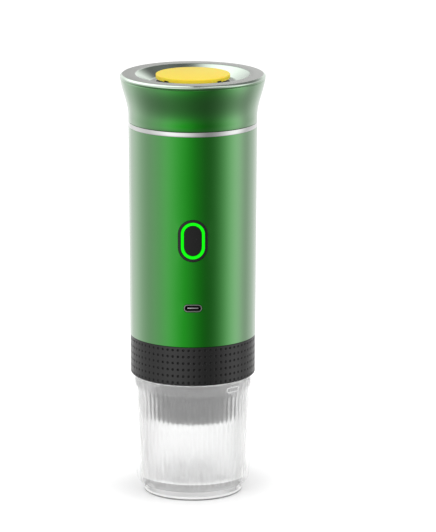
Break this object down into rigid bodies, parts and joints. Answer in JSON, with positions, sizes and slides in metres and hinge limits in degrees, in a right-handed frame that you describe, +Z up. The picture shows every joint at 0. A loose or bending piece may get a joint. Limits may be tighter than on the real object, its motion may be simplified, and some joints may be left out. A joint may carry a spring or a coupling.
{
  "type": "portable capsule coffee maker",
  "caption": "Slim battery coffee maker that stands in its own clear cup, with a screw-off capsule holder, a water tank under a flared lid, a lit push button and a charging port.",
  "frame": {"origin": "on the table, under the middle of the cup's foot", "axes": "+Z up along the axis of the tube, the power button and the charging port face -Y"},
  "size_m": [0.079, 0.079, 0.2328],
  "materials": {
    "clear_cup": "clear moulded plastic, reeded",
    "holder_grey": "satin",
    "grip_rubber": "matte, dimpled",
    "steel": "satin",
    "seal_silicone": "translucent matte",
    "dark_plastic": "fine matte",
    "green_metal": "anodised satin metallic green",
    "frame_plastic": "moulded",
    "tank_plastic": "smooth",
    "hose_silicone": "translucent",
    "pump_metal": "cast",
    "motor_metal": "plated can",
    "pinion_brass": "machined",
    "gear_plastic": "moulded",
    "cell_sleeve": "shrink sleeve",
    "board_green": "solder mask",
    "black_gloss": "glossy",
    "port_metal": "satin",
    "light_green": "lit diffuser",
    "polished_band": "polished",
    "dish_steel": "satin rim, polished cone",
    "vent_yellow": "satin"
  },
  "bodies": {
    "cup": {"cup": "clear_cup"},
    "holder": {"capsule_holder": "holder_grey", "grip_ring": "grip_rubber", "strainer_plate": "steel"},
    "brew_seal": {"brew_seal": "seal_silicone"},
    "machine": {"brew_head": "dark_plastic", "pierce_needle": "steel", "head_screws": "steel", "body_shell": "green_metal", "inner_frame": "frame_plastic", "water_tank": "tank_plastic", "inlet_hose": "hose_silicone", "pump_block": "pump_metal", "outlet_hose": "hose_silicone", "gear_plate": "steel", "plate_screws": "steel", "motor": "motor_metal", "battery_cells": "cell_sleeve", "circuit_board": "board_green", "tact_switch": "dark_plastic", "usb_socket": "steel", "usb_bezel": "port_metal", "button_bezel": "black_gloss", "light_ring": "light_green", "trim_ring": "polished_band"},
    "power_button": {"power_button": "dark_plastic"},
    "drive_gear": {"drive_gear": "gear_plastic"},
    "motor_pinion": {"motor_pinion": "pinion_brass"},
    "lid_seal": {"lid_seal": "seal_silicone"},
    "lid": {"lid_shell": "green_metal", "lid_dish": "dish_steel", "lid_liner": "dark_plastic", "vent_spring": "steel"},
    "vent": {"vent_button": "vent_yellow", "vent_stem": "steel", "vent_valve": "dark_plastic"}
  },
  "joints": [
    {"name": "cup_off", "type": "slide", "parent": "cup", "child": "holder", "axis": [0, 0, 1], "range_m": [0, 0.06]},
    {"name": "holder_off", "type": "slide", "parent": "holder", "child": "brew_seal", "axis": [0, 0, 1], "range_m": [0, 0.05]},
    {"name": "holder_turn", "type": "hinge", "parent": "brew_seal", "child": "machine", "pos_m": [0, 0, 0.0885], "axis": [0, 0, 1], "range_deg": [0, 90]},
    {"name": "power_press", "type": "slide", "parent": "machine", "child": "power_button", "axis": [0, 1, 0], "range_m": [0, 0.0008], "stiffness_N_per_m": 400},
    {"name": "gear_spin", "type": "hinge", "parent": "machine", "child": "drive_gear", "pos_m": [0, 0.0035, 0.1265], "axis": [0, 0, 1], "continuous": true},
    {"name": "pinion_spin", "type": "hinge", "parent": "machine", "child": "motor_pinion", "pos_m": [0, 0.014, 0.1265], "axis": [0, 0, 1], "continuous": true},
    {"name": "lid_off", "type": "slide", "parent": "machine", "child": "lid_seal", "axis": [0, 0, 1], "range_m": [0, 0.05]},
    {"name": "lid_turn", "type": "hinge", "parent": "lid_seal", "child": "lid", "pos_m": [0, 0, 0.207], "axis": [0, 0, 1], "range_deg": [0, 540]},
    {"name": "vent_press", "type": "slide", "parent": "lid", "child": "vent", "axis": [0, 0, -1], "range_m": [0, 0.0016], "stiffness_N_per_m": 300, "deforming": ["vent_spring"]}
  ],
  "couplings": [
    {"joint": "pinion_spin", "follows": "gear_spin", "ratio": -2.5}
  ]
}
